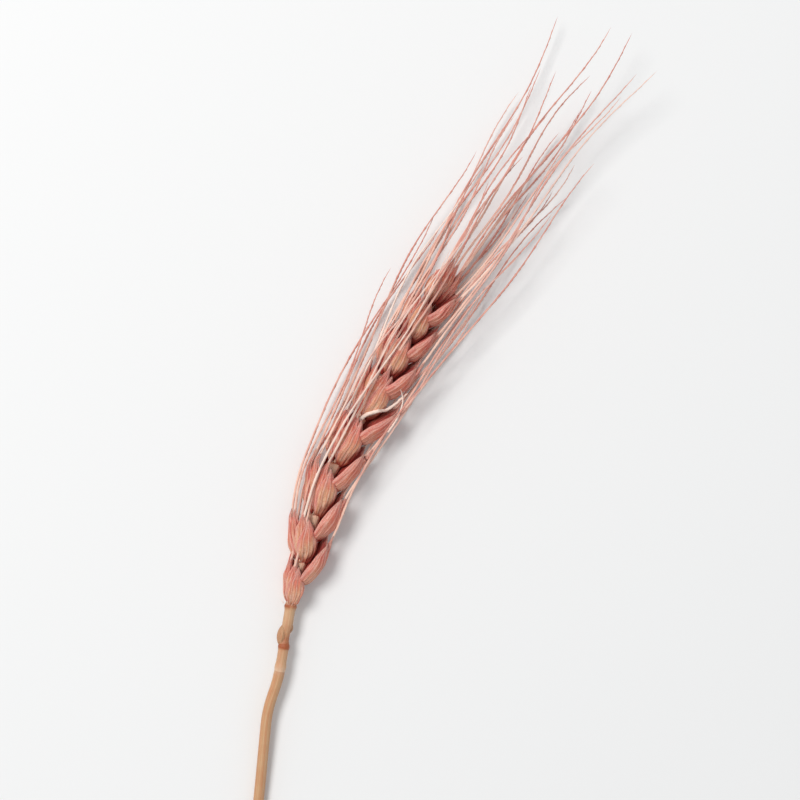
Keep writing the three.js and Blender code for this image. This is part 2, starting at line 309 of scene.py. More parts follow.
def feed_all(sockets, values):
    """Feeds several sockets, each one by its name or number."""
    for name, value in values.items():
        feed(sockets[name], value)


def put(tree, kind, inputs, **settings):
    """Adds a node, sets its properties, and feeds its inputs."""
    node = tree.nodes.new(kind)
    for name, value in settings.items():
        setattr(node, name, value)
    feed_all(node.inputs, inputs)
    return node


class Wire:
    """One output of a node, and what can be made from it."""

    def __init__(self, tree, socket):
        self.tree = tree
        self.socket = socket

    def into(self, kind, output, inputs, **settings):
        """Adds a node that inputs may feed this wire to, and gives one of its outputs."""
        return Wire(self.tree, put(self.tree, kind, inputs, **settings).outputs[output])

    def reckon(self, operation, other=0.5, clamped=False):
        """A Math node on this wire and another wire or number."""
        inputs = {0: self, 1: other}
        return self.into("ShaderNodeMath", 0, inputs, operation=operation, use_clamp=clamped)

    def __add__(self, other):
        return self.reckon("ADD", other)

    def __mul__(self, other):
        return self.reckon("MULTIPLY", other)

    def ranged(self, low, high, to_low=0.0, to_high=1.0):
        """A smooth step: to_low at low or less, to_high at high or more."""
        inputs = {0: self, "From Min": low, "From Max": high, "To Min": to_low, "To Max": to_high}
        return self.into("ShaderNodeMapRange", "Result", inputs, interpolation_type="SMOOTHSTEP")

    def cloudy(self, stretch, scale, detail, roughness=0.55):
        """Soft noise from 0 to 1, read at this vector once it is stretched on each axis."""
        vector = self.into("ShaderNodeMapping", "Vector", {"Vector": self, "Scale": stretch})
        inputs = {"Vector": vector, "Scale": scale, "Detail": detail, "Roughness": roughness}
        return self.into("ShaderNodeTexNoise", "Fac", inputs)

    def axis(self, name):
        """This vector's X or Y."""
        return self.into("ShaderNodeSeparateXYZ", name, {0: self})


def effect(name, inputs, outputs):
    """An empty shader node group with named sockets: its wires in, and its sockets out."""
    tree = bpy.data.node_groups.new(name, "ShaderNodeTree")
    for label, kind in inputs.items():
        tree.interface.new_socket(label, in_out="INPUT", socket_type=kind)
    for label in outputs:
        tree.interface.new_socket(label, in_out="OUTPUT", socket_type="NodeSocketFloat")
    given = put(tree, "NodeGroupInput", {}).outputs
    return [Wire(tree, given[label]) for label in inputs], put(tree, "NodeGroupOutput", {}).inputs


# %% Lengthwise fibres, uneven dye, and where on a husk a point is
EVENLY = (1.0, 1.0, 1.0)


def fibre_effect():
    """Ribs counted across the piece, fine fibres between them, and broader streaks of dye."""
    inputs = {"UV": "NodeSocketVector", "Ribs": "NodeSocketFloat"}
    (spot, ribs), made = effect("fibres", inputs, ["Rib", "Fibre", "Streak"])
    wander = spot.cloudy((2.0, 3.0, 1.0), 2.0, 2.0)
    turns = (spot.axis("X") * ribs + wander * 0.35) * (2 * pi)
    feed_all(made, {
        "Rib": turns.reckon("COSINE").ranged(0.2, 1.0),
        "Fibre": spot.cloudy((24.0, 2.0, 1.0), 1.0, 3.0, 0.6).ranged(0.36, 0.64),
        "Streak": spot.cloudy((8.0, 1.3, 1.0), 1.0, 4.0, 0.65).ranged(0.36, 0.64),
    })
    return spot.tree


def dye_effect():
    """Broad patches where more dye took, small flecks that stayed pale, and a fine grain."""
    (spot,), made = effect("dye_uptake", {"Vector": "NodeSocketVector"}, ["Patch", "Fleck", "Grain"])
    feed_all(made, {
        "Patch": spot.cloudy(EVENLY, 260.0, 4.0, 0.6).ranged(0.36, 0.66),
        "Fleck": spot.cloudy(EVENLY, 1500.0, 2.0, 0.5).ranged(0.68, 0.76),
        "Grain": spot.cloudy(EVENLY, 3800.0, 3.0, 0.65),
    })
    return spot.tree


def zone_effect():
    """Masks of a husk's rim, foot, tip and belly, from a UV that runs across and along it."""
    (spot,), made = effect("husk_zones", {"UV": "NodeSocketVector"}, ["Rim", "Foot", "Tip", "Belly"])
    off_middle = spot.axis("X").reckon("SUBTRACT", 0.5).reckon("ABSOLUTE")
    along = spot.axis("Y")
    feed_all(made, {
        "Rim": off_middle.ranged(0.16, 0.46),
        "Foot": along.ranged(0.02, 0.17, 1.0, 0.0),
        "Tip": along.ranged(0.6, 0.98),
        "Belly": along.ranged(0.35, 0.85, 1.0, 0.0) * off_middle.ranged(0.12, 0.42, 1.0, 0.0),
    })
    return spot.tree


FIBRES = fibre_effect()
DYE = dye_effect()
ZONES = zone_effect()
print("shared effects:", [tree.name for tree in (FIBRES, DYE, ZONES)])

# %% [markdown]
# ## Materials
#
# The husks are thin dry paper. Their bellies kept some of the straw's tan, and the dye is stronger
# towards the rims. Where husks overlap they turn deep red-brown, which is pooled dye and painted
# shade. A "crevice" value on each point, measured later from the finished shapes, says how hidden
# the point is, and so how much of that painted shade it gets. A "tone" value gives each husk its own
# mix. The awns are paler near the ear and rosier towards their ends.

# %% What every plant material starts and ends with
GLOW_RADIUS = (1.0, 0.45, 0.3)
GLOW_DEPTH = 0.5 * MM
# The Mix node has sockets for numbers and colours under the same names, so these go by number.
MIX_UNDER = 6
MIX_OVER = 7
MIX_COLOUR = 2


def use(group, **given):
    """Places a shared effect in the material that the first wire comes from."""
    tree = next(value.tree for value in given.values() if isinstance(value, Wire))
    node = put(tree, "ShaderNodeGroup", {}, node_tree=group)
    feed_all(node.inputs, given)
    return {socket.name: Wire(tree, socket) for socket in node.outputs}


def plant_material(name, roughness, specular, glow, ribs):
    """A material with its constants set, its shader, its UV, and its fibres and dye."""
    material = bpy.data.materials.new(name)
    material.use_nodes = True
    tree = material.node_tree
    shader = tree.nodes["Principled BSDF"].inputs
    feed_all(shader, {
        "Roughness": roughness, "Specular IOR Level": specular, "Subsurface Weight": glow,
        "Subsurface Radius": GLOW_RADIUS, "Subsurface Scale": GLOW_DEPTH,
    })
    given = put(tree, "ShaderNodeTexCoord", {}).outputs
    spot = Wire(tree, given["UV"])
    fibres = use(FIBRES, UV=spot, Ribs=ribs)
    return material, shader, spot, fibres, use(DYE, Vector=Wire(tree, given["Object"]))


def stored(spot, name):
    """A value that is stored on the points."""
    return spot.into("ShaderNodeAttribute", "Fac", {}, attribute_name=name)


def layered(colour, layers):
    """A colour with others laid over it, each through its own mask."""
    for mask, over in layers:
        inputs = {"Factor": mask, MIX_UNDER: colour, MIX_OVER: over}
        colour = mask.into("ShaderNodeMix", MIX_COLOUR, inputs, data_type="RGBA", clamp_factor=True)
    return colour


def dress(shader, colour, roughness, height, depth):
    """Feeds the shader its colour and roughness, and its bumps from a height."""
    bumps = height.into("ShaderNodeBump", "Normal", {"Distance": depth, "Height": height})
    feed_all(shader, {"Base Color": colour, "Roughness": roughness, "Normal": bumps})


# %% Husk material
HUSK_BELLY = (0.78, 0.43, 0.25, 1)
HUSK_ROSE = (0.7, 0.15, 0.115, 1)
HUSK_VEIN = (0.5, 0.055, 0.04, 1)
HUSK_RIM = (0.9, 0.45, 0.38, 1)
HUSK_PALE = (0.97, 0.62, 0.52, 1)
HUSK_FOOT = (0.62, 0.19, 0.07, 1)
# Deep red-brown for painted shade and pooled dye where husks overlap.
HUSK_SHADE_AND_DYE_POOL = (0.38, 0.034, 0.024, 1)
HUSK_BUMP = 0.08 * MM


def husk_material():
    """Dyed chaff: tan bellies, rosy flanks, pale rims and tips, and deep red-brown painted shade with
    pooled dye where husks overlap.
    """
    material, shader, spot, fibres, dye = plant_material("dyed_husk", 0.55, 0.35, 0.22, 6.0)
    zones = use(ZONES, UV=spot)
    still_tan = zones["Belly"] * stored(spot, "tone").ranged(0.0, 1.0, 1.2, 0.3) + dye["Patch"] * 0.3
    # Painted shade with pooled dye: hidden points of a husk turn deep red-brown, less so near the tip.
    hidden = stored(spot, "crevice").ranged(0.12, 0.72) * zones["Tip"].ranged(0.2, 1.0, 0.95, 0.45)
    colour = layered(HUSK_ROSE, [
        (still_tan, HUSK_BELLY),
        (zones["Rim"] * 0.5, HUSK_RIM),
        (zones["Foot"] * 0.75, HUSK_FOOT),
        (zones["Tip"] * 0.6, HUSK_PALE),
        (fibres["Streak"].ranged(0.0, 0.45, 0.42, 0.0), HUSK_PALE),
        (fibres["Streak"].ranged(0.55, 1.0, 0.0, 0.32), HUSK_VEIN),
        (fibres["Fibre"].ranged(0.0, 0.4, 0.3, 0.0), HUSK_PALE),
        (fibres["Fibre"].ranged(0.6, 1.0, 0.0, 0.36), HUSK_VEIN),
        (fibres["Rib"] * 0.25 + dye["Fleck"] * 0.4, HUSK_PALE),
        (dye["Grain"].ranged(0.45, 0.65, 0.0, 0.35), HUSK_VEIN),
        (hidden, HUSK_SHADE_AND_DYE_POOL),
    ])
    height = fibres["Rib"] + fibres["Fibre"] * 0.5 + fibres["Streak"] * 0.7 + dye["Grain"] * 0.3
    dress(shader, colour, dye["Grain"].ranged(0.3, 0.7, 0.45, 0.68), height, HUSK_BUMP)
    return material


# %% Awn material
AWN_PALE = (0.9, 0.6, 0.48, 1)
AWN_ROSE = (0.62, 0.23, 0.18, 1)
AWN_WHITE = (0.96, 0.8, 0.7, 1)
AWN_BUMP = 0.02 * MM


def awn_material():
    """Bristles that are cream near the ear and rosy towards their ends, some of them bleached."""
    material, shader, spot, fibres, dye = plant_material("dyed_awn", 0.5, 0.4, 0.0, 3.0)
    colour = layered(AWN_PALE, [
        (spot.axis("Y").ranged(0.05, 0.6) * 0.7 + dye["Patch"] * 0.35, AWN_ROSE),
        (stored(spot, "tone").ranged(0.6, 1.0, 0.0, 0.85), AWN_WHITE),
        (fibres["Rib"] * 0.25, AWN_WHITE),
    ])
    roughness = dye["Grain"].ranged(0.3, 0.7, 0.42, 0.62)
    dress(shader, colour, roughness, fibres["Rib"] + dye["Grain"], AWN_BUMP)
    return material


# %% Straw and rachis materials
STRAW_COLOURS = {
    "body": (0.58, 0.33, 0.165, 1), "cream": (0.72, 0.47, 0.27, 1), "orange": (0.56, 0.2, 0.085, 1),
    "pale": (0.8, 0.55, 0.38, 1), "stain": (0.4, 0.1, 0.03, 1),
}
RACHIS_COLOURS = {
    "body": (0.74, 0.38, 0.24, 1), "cream": (0.9, 0.56, 0.4, 1), "orange": (0.6, 0.17, 0.08, 1),
    "pale": (0.99, 0.64, 0.46, 1), "stain": (0.42, 0.08, 0.025, 1),
}
STRAW_BUMP = 0.03 * MM


def straw_material(name, body, cream, orange, pale, stain):
    """Straw with pale streaks, a little dye, and brown stains where "stain" says so."""
    material, shader, spot, fibres, dye = plant_material(name, 0.42, 0.5, 0.08, 24.0)
    stained = stored(spot, "stain") * (dye["Patch"] + 0.5)
    colour = layered(body, [
        (fibres["Rib"] * 0.7, cream),
        (fibres["Fibre"].ranged(0.0, 0.5, 0.6, 0.0), cream),
        (fibres["Streak"].ranged(0.5, 1.0, 0.0, 0.45), orange),
        (dye["Patch"] * 0.25, orange),
        (stored(spot, "tone"), pale),
        (stained.reckon("MULTIPLY", 0.95, clamped=True), stain),
    ])
    roughness = dye["Grain"].ranged(0.3, 0.7, 0.34, 0.55)
    dress(shader, colour, roughness, fibres["Rib"] + fibres["Fibre"] * 0.6, STRAW_BUMP)
    return material


HUSK = husk_material()
AWN = awn_material()
STRAW = straw_material("straw_skin", **STRAW_COLOURS)
RACHIS = straw_material("rachis_skin", **RACHIS_COLOURS)
print("materials:", [material.name for material in (HUSK, AWN, STRAW, RACHIS)])

# %% [markdown]
# ## Pulling a shape up row by row
#
# A husk, a bristle and a straw all have one kind of section that only changes its size along the
# piece. So each starts as a circle, standing across the piece's length. In edit mode, points are
# removed or pushed out to make the section, and then the edge is extruded and resized again and
# again, one row at a time. The piece stands along +Y in its own place, until it is laid on the ear.

# %% Tools for pulling up
def mode(name):
    """Goes into object or edit mode."""
    bpy.ops.object.mode_set(mode=name)


def choose(pieces):
    """Selects these objects alone, the first one active."""
    bpy.ops.object.select_all(action="DESELECT")
    for piece in pieces:
        piece.select_set(True)
    bpy.context.view_layer.objects.active = pieces[0]


def start_circle(name, points, radius):
    """A circle of points round the Y axis."""
    bpy.ops.object.select_all(action="DESELECT")
    bpy.ops.mesh.primitive_circle_add(
        vertices=points, radius=radius, fill_type="NOTHING", calc_uvs=False, rotation=(pi / 2, 0, 0)
    )
    bpy.ops.object.transform_apply(rotation=True)
    piece = bpy.context.object
    piece.name = name
    return piece


def pick(piece, wanted):
    """Selects the points that pass a test, and goes into edit mode."""
    mode("EDIT")
    bpy.ops.mesh.select_mode(type="VERT")
    bpy.ops.mesh.select_all(action="DESELECT")
    mode("OBJECT")
    for point in piece.data.vertices:
        point.select = wanted(point.co)
    mode("EDIT")


def around(point):
    """Angle of a point round the Y axis, 0 at +Z and positive towards +X."""
    return atan2(point.x, point.z)


def push_out(piece, wanted, factor):
    """Moves the points that pass a test away from the Y axis, by a factor."""
    pick(piece, wanted)
    bpy.ops.transform.resize(value=(factor, 1, factor), center_override=(0, 0, 0))
    mode("OBJECT")


def pull_up(piece, rows):
    """Extrudes the open edge through rows of (forward, across, rise, half width, depth)."""
    pick(piece, lambda point: True)
    first = rows[0]
    start = (first[1], first[0], first[2])
    size = piece.data.vertices[0].co.length
    bpy.ops.transform.translate(value=start)
    bpy.ops.transform.resize(value=(first[3] / size, 1, first[4] / size), center_override=start)
    for before, row in zip(rows, rows[1:]):
        move = (row[1] - before[1], row[0] - before[0], row[2] - before[2])
        factors = (row[3] / before[3], 1, row[4] / before[4])
        bpy.ops.mesh.extrude_region_move(TRANSFORM_OT_translate={"value": move})
        bpy.ops.transform.resize(value=factors, center_override=(row[1], row[0], row[2]))


def round_rows(rings):
    """Rows of a straight round piece, from (forward, radius) pairs."""
    return [(forward, 0, 0, radius, radius) for forward, radius in rings]


def end_in_point():
    """Draws the last row together into one point."""
    bpy.ops.mesh.merge(type="CENTER")
    mode("OBJECT")


# %% Curves, maps and values
def bell(value, middle, width):
    """1 at the middle, falling off smoothly on both sides."""
    return exp(-(((value - middle) / width) ** 2))


def curve_through(pairs, place):
    """Value of a round curve through (place, value) pairs."""
    index = 0
    while index < len(pairs) - 2 and place > pairs[index + 1][0]:
        index += 1
    (start, low), (end, high) = pairs[index], pairs[index + 1]
    before = pairs[max(index - 1, 0)]
    after = pairs[min(index + 2, len(pairs) - 1)]
    slope_low = (high - before[1]) / (end - before[0])
    slope_high = (after[1] - low) / (after[0] - start)
    t = min(max((place - start) / (end - start), 0), 1)
    span = end - start
    return (
        (2 * t ** 3 - 3 * t ** 2 + 1) * low + (t ** 3 - 2 * t ** 2 + t) * slope_low * span
        + (3 * t ** 2 - 2 * t ** 3) * high + (t ** 3 - t ** 2) * slope_high * span
    )


def write_uv(piece, places):
    """A UV map from two numbers for each point: across the piece and along it."""
    layer = piece.data.uv_layers.new(name="lengthwise")
    for loop in piece.data.loops:
        layer.data[loop.index].uv = places[loop.vertex_index]


def wrap_uv(piece, length, start=0):
    """A UV map round a tube and along it, from 0 at the start to 1 one length further on."""
    points = [point.co for point in piece.data.vertices]
    write_uv(piece, [(around(point) / (2 * pi) + 0.5, (point.y - start) / length) for point in points])


def write_value(mesh, name, value):
    """A value on each point: one number, a list, or a function of the point's place."""
    if callable(value):
        value = [value(point.co) for point in mesh.vertices]
    elif isinstance(value, (int, float)):
        value = [value] * len(mesh.vertices)
    attribute = mesh.attributes.get(name) or mesh.attributes.new(name, "FLOAT", "POINT")
    attribute.data.foreach_set("value", value)


def tell(piece):
    """Prints what was made."""
    print(piece.name, "has", len(piece.data.polygons), "faces")


def smooth(piece, crease):
    """Rounds the shading, but keeps edges sharp that turn by more than the crease."""
    bpy.ops.object.shade_smooth_by_angle(angle=crease * DEGREE)
    tell(piece)


# %% [markdown]
# ## Husks
#
# Each spikelet has two glumes outside, and three florets between them. A floret's outer husk is
# the lemma, which wraps round it and runs out into the awn, and its inner husk is the palea. All
# are open boats of thin dry tissue, with a few ribs that meet at the tip. A solid body would be
# simpler, but light falls into the gaps between real husks, so they are shells: the open section
# keeps its ribs as it is pulled up, and the Solidify modifier then gives the wall its thickness.

# %% Section of a husk
SECTION_POINTS = 72


def open_section(piece, half_angle, ribs):
    """Cuts a circle open and pushes its ribs out. ribs gives a height in radii from an angle."""
    pick(piece, lambda point: abs(around(point)) > half_angle * DEGREE)
    bpy.ops.mesh.delete(type="VERT")
    mode("OBJECT")
    step = 360 / SECTION_POINTS
    reach = step / 2 * DEGREE
    last = round(half_angle / step)
    for number in range(-last, last + 1):
        angle = number * step
        push_out(piece, lambda point: abs(around(point) - angle * DEGREE) < reach, 1 + ribs(angle))


def even_ribs(height, spacing):
    """Ribs at even angles, as a function from an angle to a height in radii."""
    return lambda angle: height * cos(angle / spacing * 2 * pi)


# %% One open husk
RIM_WALL = 0.35


def husk_rows(profile, depth, bow, drift, count):
    """Rows of a husk from (forward, half width) pairs. depth is a share of the half width."""
    length = profile[-1][0]
    rows = []
    for number in range(count):
        forward = length * number / (count - 1)
        middle = 2 * forward / length - 1
        width = curve_through(profile, forward)
        arch = bow * (1 - middle * middle)
        rows.append((forward, drift * (forward / length) ** 2, arch, width, width * depth))
    return rows


def husk_place(point, rows, half_angle):
    """How far across and along a husk a point is, each from 0 to 1."""
    row = min(rows, key=lambda station: abs(station[0] - point.y))
    angle = 0 if row is rows[-1] else atan2((point.x - row[1]) / row[3], (point.z - row[2]) / row[4])
    return min(max(0.5 + angle / (2 * half_angle * DEGREE), 0), 1), point.y / rows[-1][0]


def open_husk(name, profile, half_angle, ribs, count, depth, bow=0, drift=0):
    """An open boat that ends in a point, its UV, and how thick its wall is to be."""
    rows = husk_rows(profile, depth, bow, drift, count)
    piece = start_circle(name, SECTION_POINTS, MM)
    open_section(piece, half_angle, ribs)
    pull_up(piece, rows)
    end_in_point()
    places = [husk_place(point.co, rows, half_angle) for point in piece.data.vertices]
    write_uv(piece, places)
    group = piece.vertex_groups.new(name="wall")
    for index, (across, along) in enumerate(places):
        inner = 1 - max(abs(across - 0.5) * 2, along) ** 4
        group.add([index], RIM_WALL + (1 - RIM_WALL) * inner, "REPLACE")
    return piece


# %% Its mirror image and its wall
HUSK_CREASE = 65


def mirror_image(piece, name):
    """A copy of an open husk that faces down, with its faces turned back out."""
    choose([piece])
    bpy.ops.object.duplicate()
    copy = bpy.context.object
    copy.name = name
    mode("EDIT")
    bpy.ops.mesh.select_all(action="SELECT")
    bpy.ops.transform.resize(value=(1, 1, -1), center_override=(0, 0, 0))
    bpy.ops.mesh.flip_normals()
    mode("OBJECT")
    return copy


def give_wall(piece, thickness):
    """Makes the husk a closed shell, thinnest at its rim, and rounds its shading."""
    choose([piece])
    wall = piece.modifiers.new("wall", "SOLIDIFY")
    wall.thickness = thickness
    wall.offset = -1
    wall.vertex_group = "wall"
    bpy.ops.object.modifier_apply(modifier=wall.name)
    piece.vertex_groups.clear()
    smooth(piece, HUSK_CREASE)


# %% [markdown]
# ### Glume
#
# The glume is broad and has a keel, a sharp fold that runs off its middle and ends in the tip.
# Points beside the keel are pushed out a little less, so that the fold has a soft foot. The glume
# on the spikelet's other face is a mirror image, made before the wall, so that both walls grow
# inwards.

# %% Model both glumes
def in_metres(pairs):
    """Pairs of millimetres as pairs of metres."""
    return [(first * MM, second * MM) for first, second in pairs]


GLUME_PROFILE = in_metres([
    (0, 0.55), (0.8, 1.3), (3.7, 2.15), (7, 1.9), (9.5, 0.9), (10.5, 0.34), (11.2, 0.1),
])
GLUME_OPEN = 101
GLUME_WALL = 0.17 * MM
KEEL_ANGLE = 45
KEEL_WIDTH = 9
KEEL_HEIGHT = 0.2
low_ribs = even_ribs(0.035, 30)


def glume_ribs(angle):
    """Height of the glume's ribs and keel over its section, in radii."""
    return KEEL_HEIGHT * bell(angle, KEEL_ANGLE, KEEL_WIDTH) + low_ribs(angle)


glume_near = open_husk(
    "glume_near", GLUME_PROFILE, GLUME_OPEN, glume_ribs,
    count=30, depth=0.55, bow=0.8 * MM, drift=0.35 * MM,
)
glume_far = mirror_image(glume_near, "glume_far")
give_wall(glume_near, GLUME_WALL)
give_wall(glume_far, GLUME_WALL)

# %% [markdown]
# ### Lemma and palea
#
# The lemma wraps two thirds of the way round the floret. It has seven ribs, and above the grain
# it narrows into a neck that holds the awn. The palea closes the open side from within.

# %% Model the lemma and the palea
LEMMA_PROFILE = in_metres([
    (0, 0.4), (0.9, 1.12), (3.9, 1.7), (7.4, 1.52), (9.6, 0.86), (11.2, 0.4), (13, 0.21),
])
LEMMA_OPEN = 126
LEMMA_WALL = 0.13 * MM
PALEA_PROFILE = in_metres([(0.3, 0.3), (0.9, 0.9), (3.9, 1.4), (7.4, 1.22), (9.4, 0.6), (10.3, 0.1)])
PALEA_OPEN = 82
PALEA_WALL = 0.09 * MM

lemma = open_husk("lemma", LEMMA_PROFILE, LEMMA_OPEN, even_ribs(0.035, 36), count=32, depth=0.86)
give_wall(lemma, LEMMA_WALL)
palea = open_husk("palea", PALEA_PROFILE, PALEA_OPEN, even_ribs(-0.04, 90), count=18, depth=0.6)
give_wall(palea, PALEA_WALL)
palea.data.transform(Matrix.Rotation(pi, 4, "Y"))

# %% [markdown]
# ## Awns
#
# An awn is a long bristle that thins out to a hair and carries tiny barbs that point forwards. A
# Blender curve with a bevel could make the bristle but not its barbs, so one straight awn is
# pulled up, a few of its faces are poked into barbs, and each copy is bent along its own route.
# The routes are those of the solids: out of the floret, opening away from the ear, and then nearly
# straight with a slow wave.

# %% Model one straight awn
AWN_LENGTH = 62 * MM
AWN_ROOT = 3 * MM
AWN_WHOLE = AWN_LENGTH + AWN_ROOT
AWN_RADIUS = 0.29 * MM
AWN_END_RADIUS = 0.05 * MM
AWN_TAPER = 0.65
AWN_SIDES = 6
AWN_ROWS = 58
AWN_BUNCHING = 1.25


def awn_rings():
    """Rings of the awn, nearer each other at its root, and thinning out fastest at its end."""
    rings = []
    for number in range(AWN_ROWS):
        forward = AWN_WHOLE * (number / (AWN_ROWS - 1)) ** AWN_BUNCHING - AWN_ROOT
        share = (forward + AWN_ROOT) / AWN_WHOLE
        taper = max(0, 1 - share) ** AWN_TAPER
        rings.append((forward, AWN_END_RADIUS + (AWN_RADIUS - AWN_END_RADIUS) * taper))
    return rings


def straight_awn():
    """A tapered bristle along +Y with its root at AWN_ROOT below the origin."""
    piece = start_circle("awn", AWN_SIDES, AWN_RADIUS)
    pull_up(piece, round_rows(awn_rings()))
    end_in_point()
    pick(piece, lambda point: point.y < SAME_PLACE - AWN_ROOT)
    bpy.ops.mesh.edge_face_add()
    bpy.ops.mesh.select_all(action="DESELECT")
    mode("OBJECT")
    return piece


# %% Draw its barbs out
BARB_HEIGHT = 0.09 * MM
BARB_REACH = 0.45 * MM
BARB_SHARE = 0.3
ANGLED_CREASE = 50


def add_barbs(piece):
    """Pokes scattered faces out and draws their peaks forwards. Each face is told by its place."""
    for face in piece.data.polygons:
        row = int(face.center.y / BARB_REACH)
        side = int((around(face.center) + pi) / (2 * pi) * AWN_SIDES)
        face.select = face.center.y > AWN_ROOT and draw(row * AWN_SIDES + side, 7) < BARB_SHARE
    smooth_points = len(piece.data.vertices)
    mode("EDIT")
    bpy.ops.mesh.select_mode(type="FACE")
    bpy.ops.mesh.poke(offset=BARB_HEIGHT)
    bpy.ops.mesh.select_mode(type="VERT")
    bpy.ops.mesh.select_all(action="DESELECT")
    mode("OBJECT")
    for point in piece.data.vertices[smooth_points:]:
        point.select = True
    mode("EDIT")
    bpy.ops.transform.translate(value=(0, BARB_REACH, 0))
    mode("OBJECT")


awn = straight_awn()
add_barbs(awn)
wrap_uv(awn, AWN_WHOLE, -AWN_ROOT)
smooth(awn, ANGLED_CREASE)

# %% Routes of the awns
AWN_SPREAD = 0.085
AWN_CLOSEST = 0.35
AWN_OPENING = 0.5
AWN_FLARE = 6 * MM
AWN_CROSSING = 0.6
AWN_STRAY = 0.3
AWN_WAVE = 1.5 * MM
AWN_WAVE_ANGLE = 7
AWN_WAVE_SHIFT = 6
AWN_LOWEST = 0.5 * MM
AWN_SETTLE = 2.5 * MM


def awn_route(tip, heading, number, order, length):
    """Function from a distance along an awn to its point, once it has left its floret's tip."""
    onward, _, _ = directions(PLACES[number])
    slope = AWN_OPENING * tan(acos(min(max(heading.dot(onward), -1), 1)))
    place = PLACES[number] + (tip - line_at(PLACES[number])).dot(onward)
    _, row, face = directions(place)
    away = tip - line_at(place)
    across, lift = away.dot(row), away.dot(face)
    radius = hypot(across, lift)
    start = atan2(lift, across)
    over_face = AWN_CROSSING * draw(number, order + 50) if lift > 0 else 0
    angle = start + (pi / 2 - start) * over_face + AWN_STRAY * sway(number, order + 20)
    spread = AWN_SPREAD * (AWN_CLOSEST + draw(number, order + 30))
    shift = AWN_WAVE_SHIFT * draw(number, order + 40)

    def point_at(distance):
        share = distance / length
        flare = AWN_FLARE * (1 - exp(-distance / AWN_FLARE))
        reach = radius + spread * distance + (slope - spread) * flare
        turn = start + (angle - start) * sqrt(share)
        wave = AWN_WAVE * share * sin(share * AWN_WAVE_ANGLE + shift)
        point = beside(place + distance, reach * cos(turn) + wave, reach * sin(turn))
        over = point.z - AWN_LOWEST
        point.z = AWN_LOWEST + (over + sqrt(over * over + AWN_SETTLE ** 2 * share)) / 2
        return point

    return point_at


# %% [markdown]
# ## Spikelets
#
# Spikelets stand left and right of the stalk by turns, turned a little about their own length, and
# one stands crosswise at the end. Each place is a matrix, and each part of a spikelet has a matrix
# within it. A copy gets its own mesh, moved by both.

# %% Places of the spikelets
def spikelet_places():
    """Distances of the spikelets along the plant, furthest apart in the ear's middle."""
    places = [0.0]
    for number in range(SPIKELETS - 1):
        places.append(places[number] + eased(INTERNODES, number))
    return places


PLACES = spikelet_places()


def side_of(number):
    """Side that a spikelet stands on: 1 for the right row and -1 for the left row."""
    return -1 if number % 2 == 0 else 1


def from_axes(x, y, z, start):
    """The matrix that turns X, Y and Z to these directions and moves the origin to the start."""
    matrix = Matrix((x, y, z)).transposed().to_4x4()
    matrix.translation = start
    return matrix


def spikelet_frame(number):
    """Place of a spikelet: X out from the stalk, Y along the spikelet and Z to one face."""
    place = PLACES[number]
    onward, row, face = directions(place)
    is_last = number == SPIKELETS - 1
    side = side_of(number)
    lean = SPIKELET_LEANS[number] * DEGREE
    outward = face if is_last else row * side
    start = beside(place, 0 if is_last else side * SPIKELET_START, 0)
    axis, out = swing(onward, outward, lean), swing(outward, -onward, lean)
    turn = Matrix.Rotation((eased(TURNS, number) + TURN_SPREAD * sway(number, 2)) * DEGREE, 4, "Y")
    size = Matrix.Scale(SPIKELET_SIZES[number], 4)
    return from_axes(out, axis, out.cross(axis), start) @ turn @ size


def part_frame(out, up, forward, lean, tilt, turn, size, opening):
    """Place of one part within its spikelet."""
    return (
        Matrix.Translation((out, forward, up))
        @ Matrix.Rotation(tilt * opening * DEGREE, 4, "X")
        @ Matrix.Rotation(-lean * opening * DEGREE, 4, "Z")
        @ Matrix.Rotation(turn * DEGREE, 4, "Y")
        @ Matrix.Scale(size, 4)
    )


print(f"the spikelets stand from 0 to {PLACES[-1] / MM:.1f} mm along the plant")

# %% Copies, each with its own wrinkles
WRINKLE_DEPTH = 0.2 * MM
WRINKLE_ACROSS = 1.3
WRINKLE_ALONG = 0.28
WRINKLE_APART = 17.3
LOOK_AHEAD = 0.2 * MM
PLACE_DIGITS = 7


def wrinkle(mesh, seed):
    """Presses lengthwise wrinkles into a husk that still stands in its own place."""
    for point in mesh.vertices:
        x, y, z = point.co / MM
        spot = (x * WRINKLE_ACROSS + WRINKLE_APART * seed, y * WRINKLE_ALONG, z * WRINKLE_ACROSS)
        out = Vector((x, 0, z))
        if out.length > 0:
            point.co += out.normalized() * noise.noise(spot) * WRINKLE_DEPTH


def place_copy(source, name, matrix, tone, seed=None):
    """A copy with its own mesh, moved into place, with its own tone and its own wrinkles."""
    mesh = source.data.copy()
    if seed is not None:
        wrinkle(mesh, seed)
    mesh.transform(matrix)
    write_value(mesh, "tone", tone)
    return add_object(name, mesh)


def lay_along(copy, path):
    """Bends a straight copy: its Y becomes the distance along a path."""
    frames = {}
    for point in copy.data.vertices:
        key = round(point.co.y, PLACE_DIGITS)
        if key not in frames:
            onward = (path(key + LOOK_AHEAD) - path(key - LOOK_AHEAD)).normalized()
            side = onward.cross(Vector((0, 0, 1))).normalized()
            frames[key] = (path(key), side, side.cross(onward))
        middle, side, upward = frames[key]
        point.co = middle + side * point.co.x + upward * point.co.z


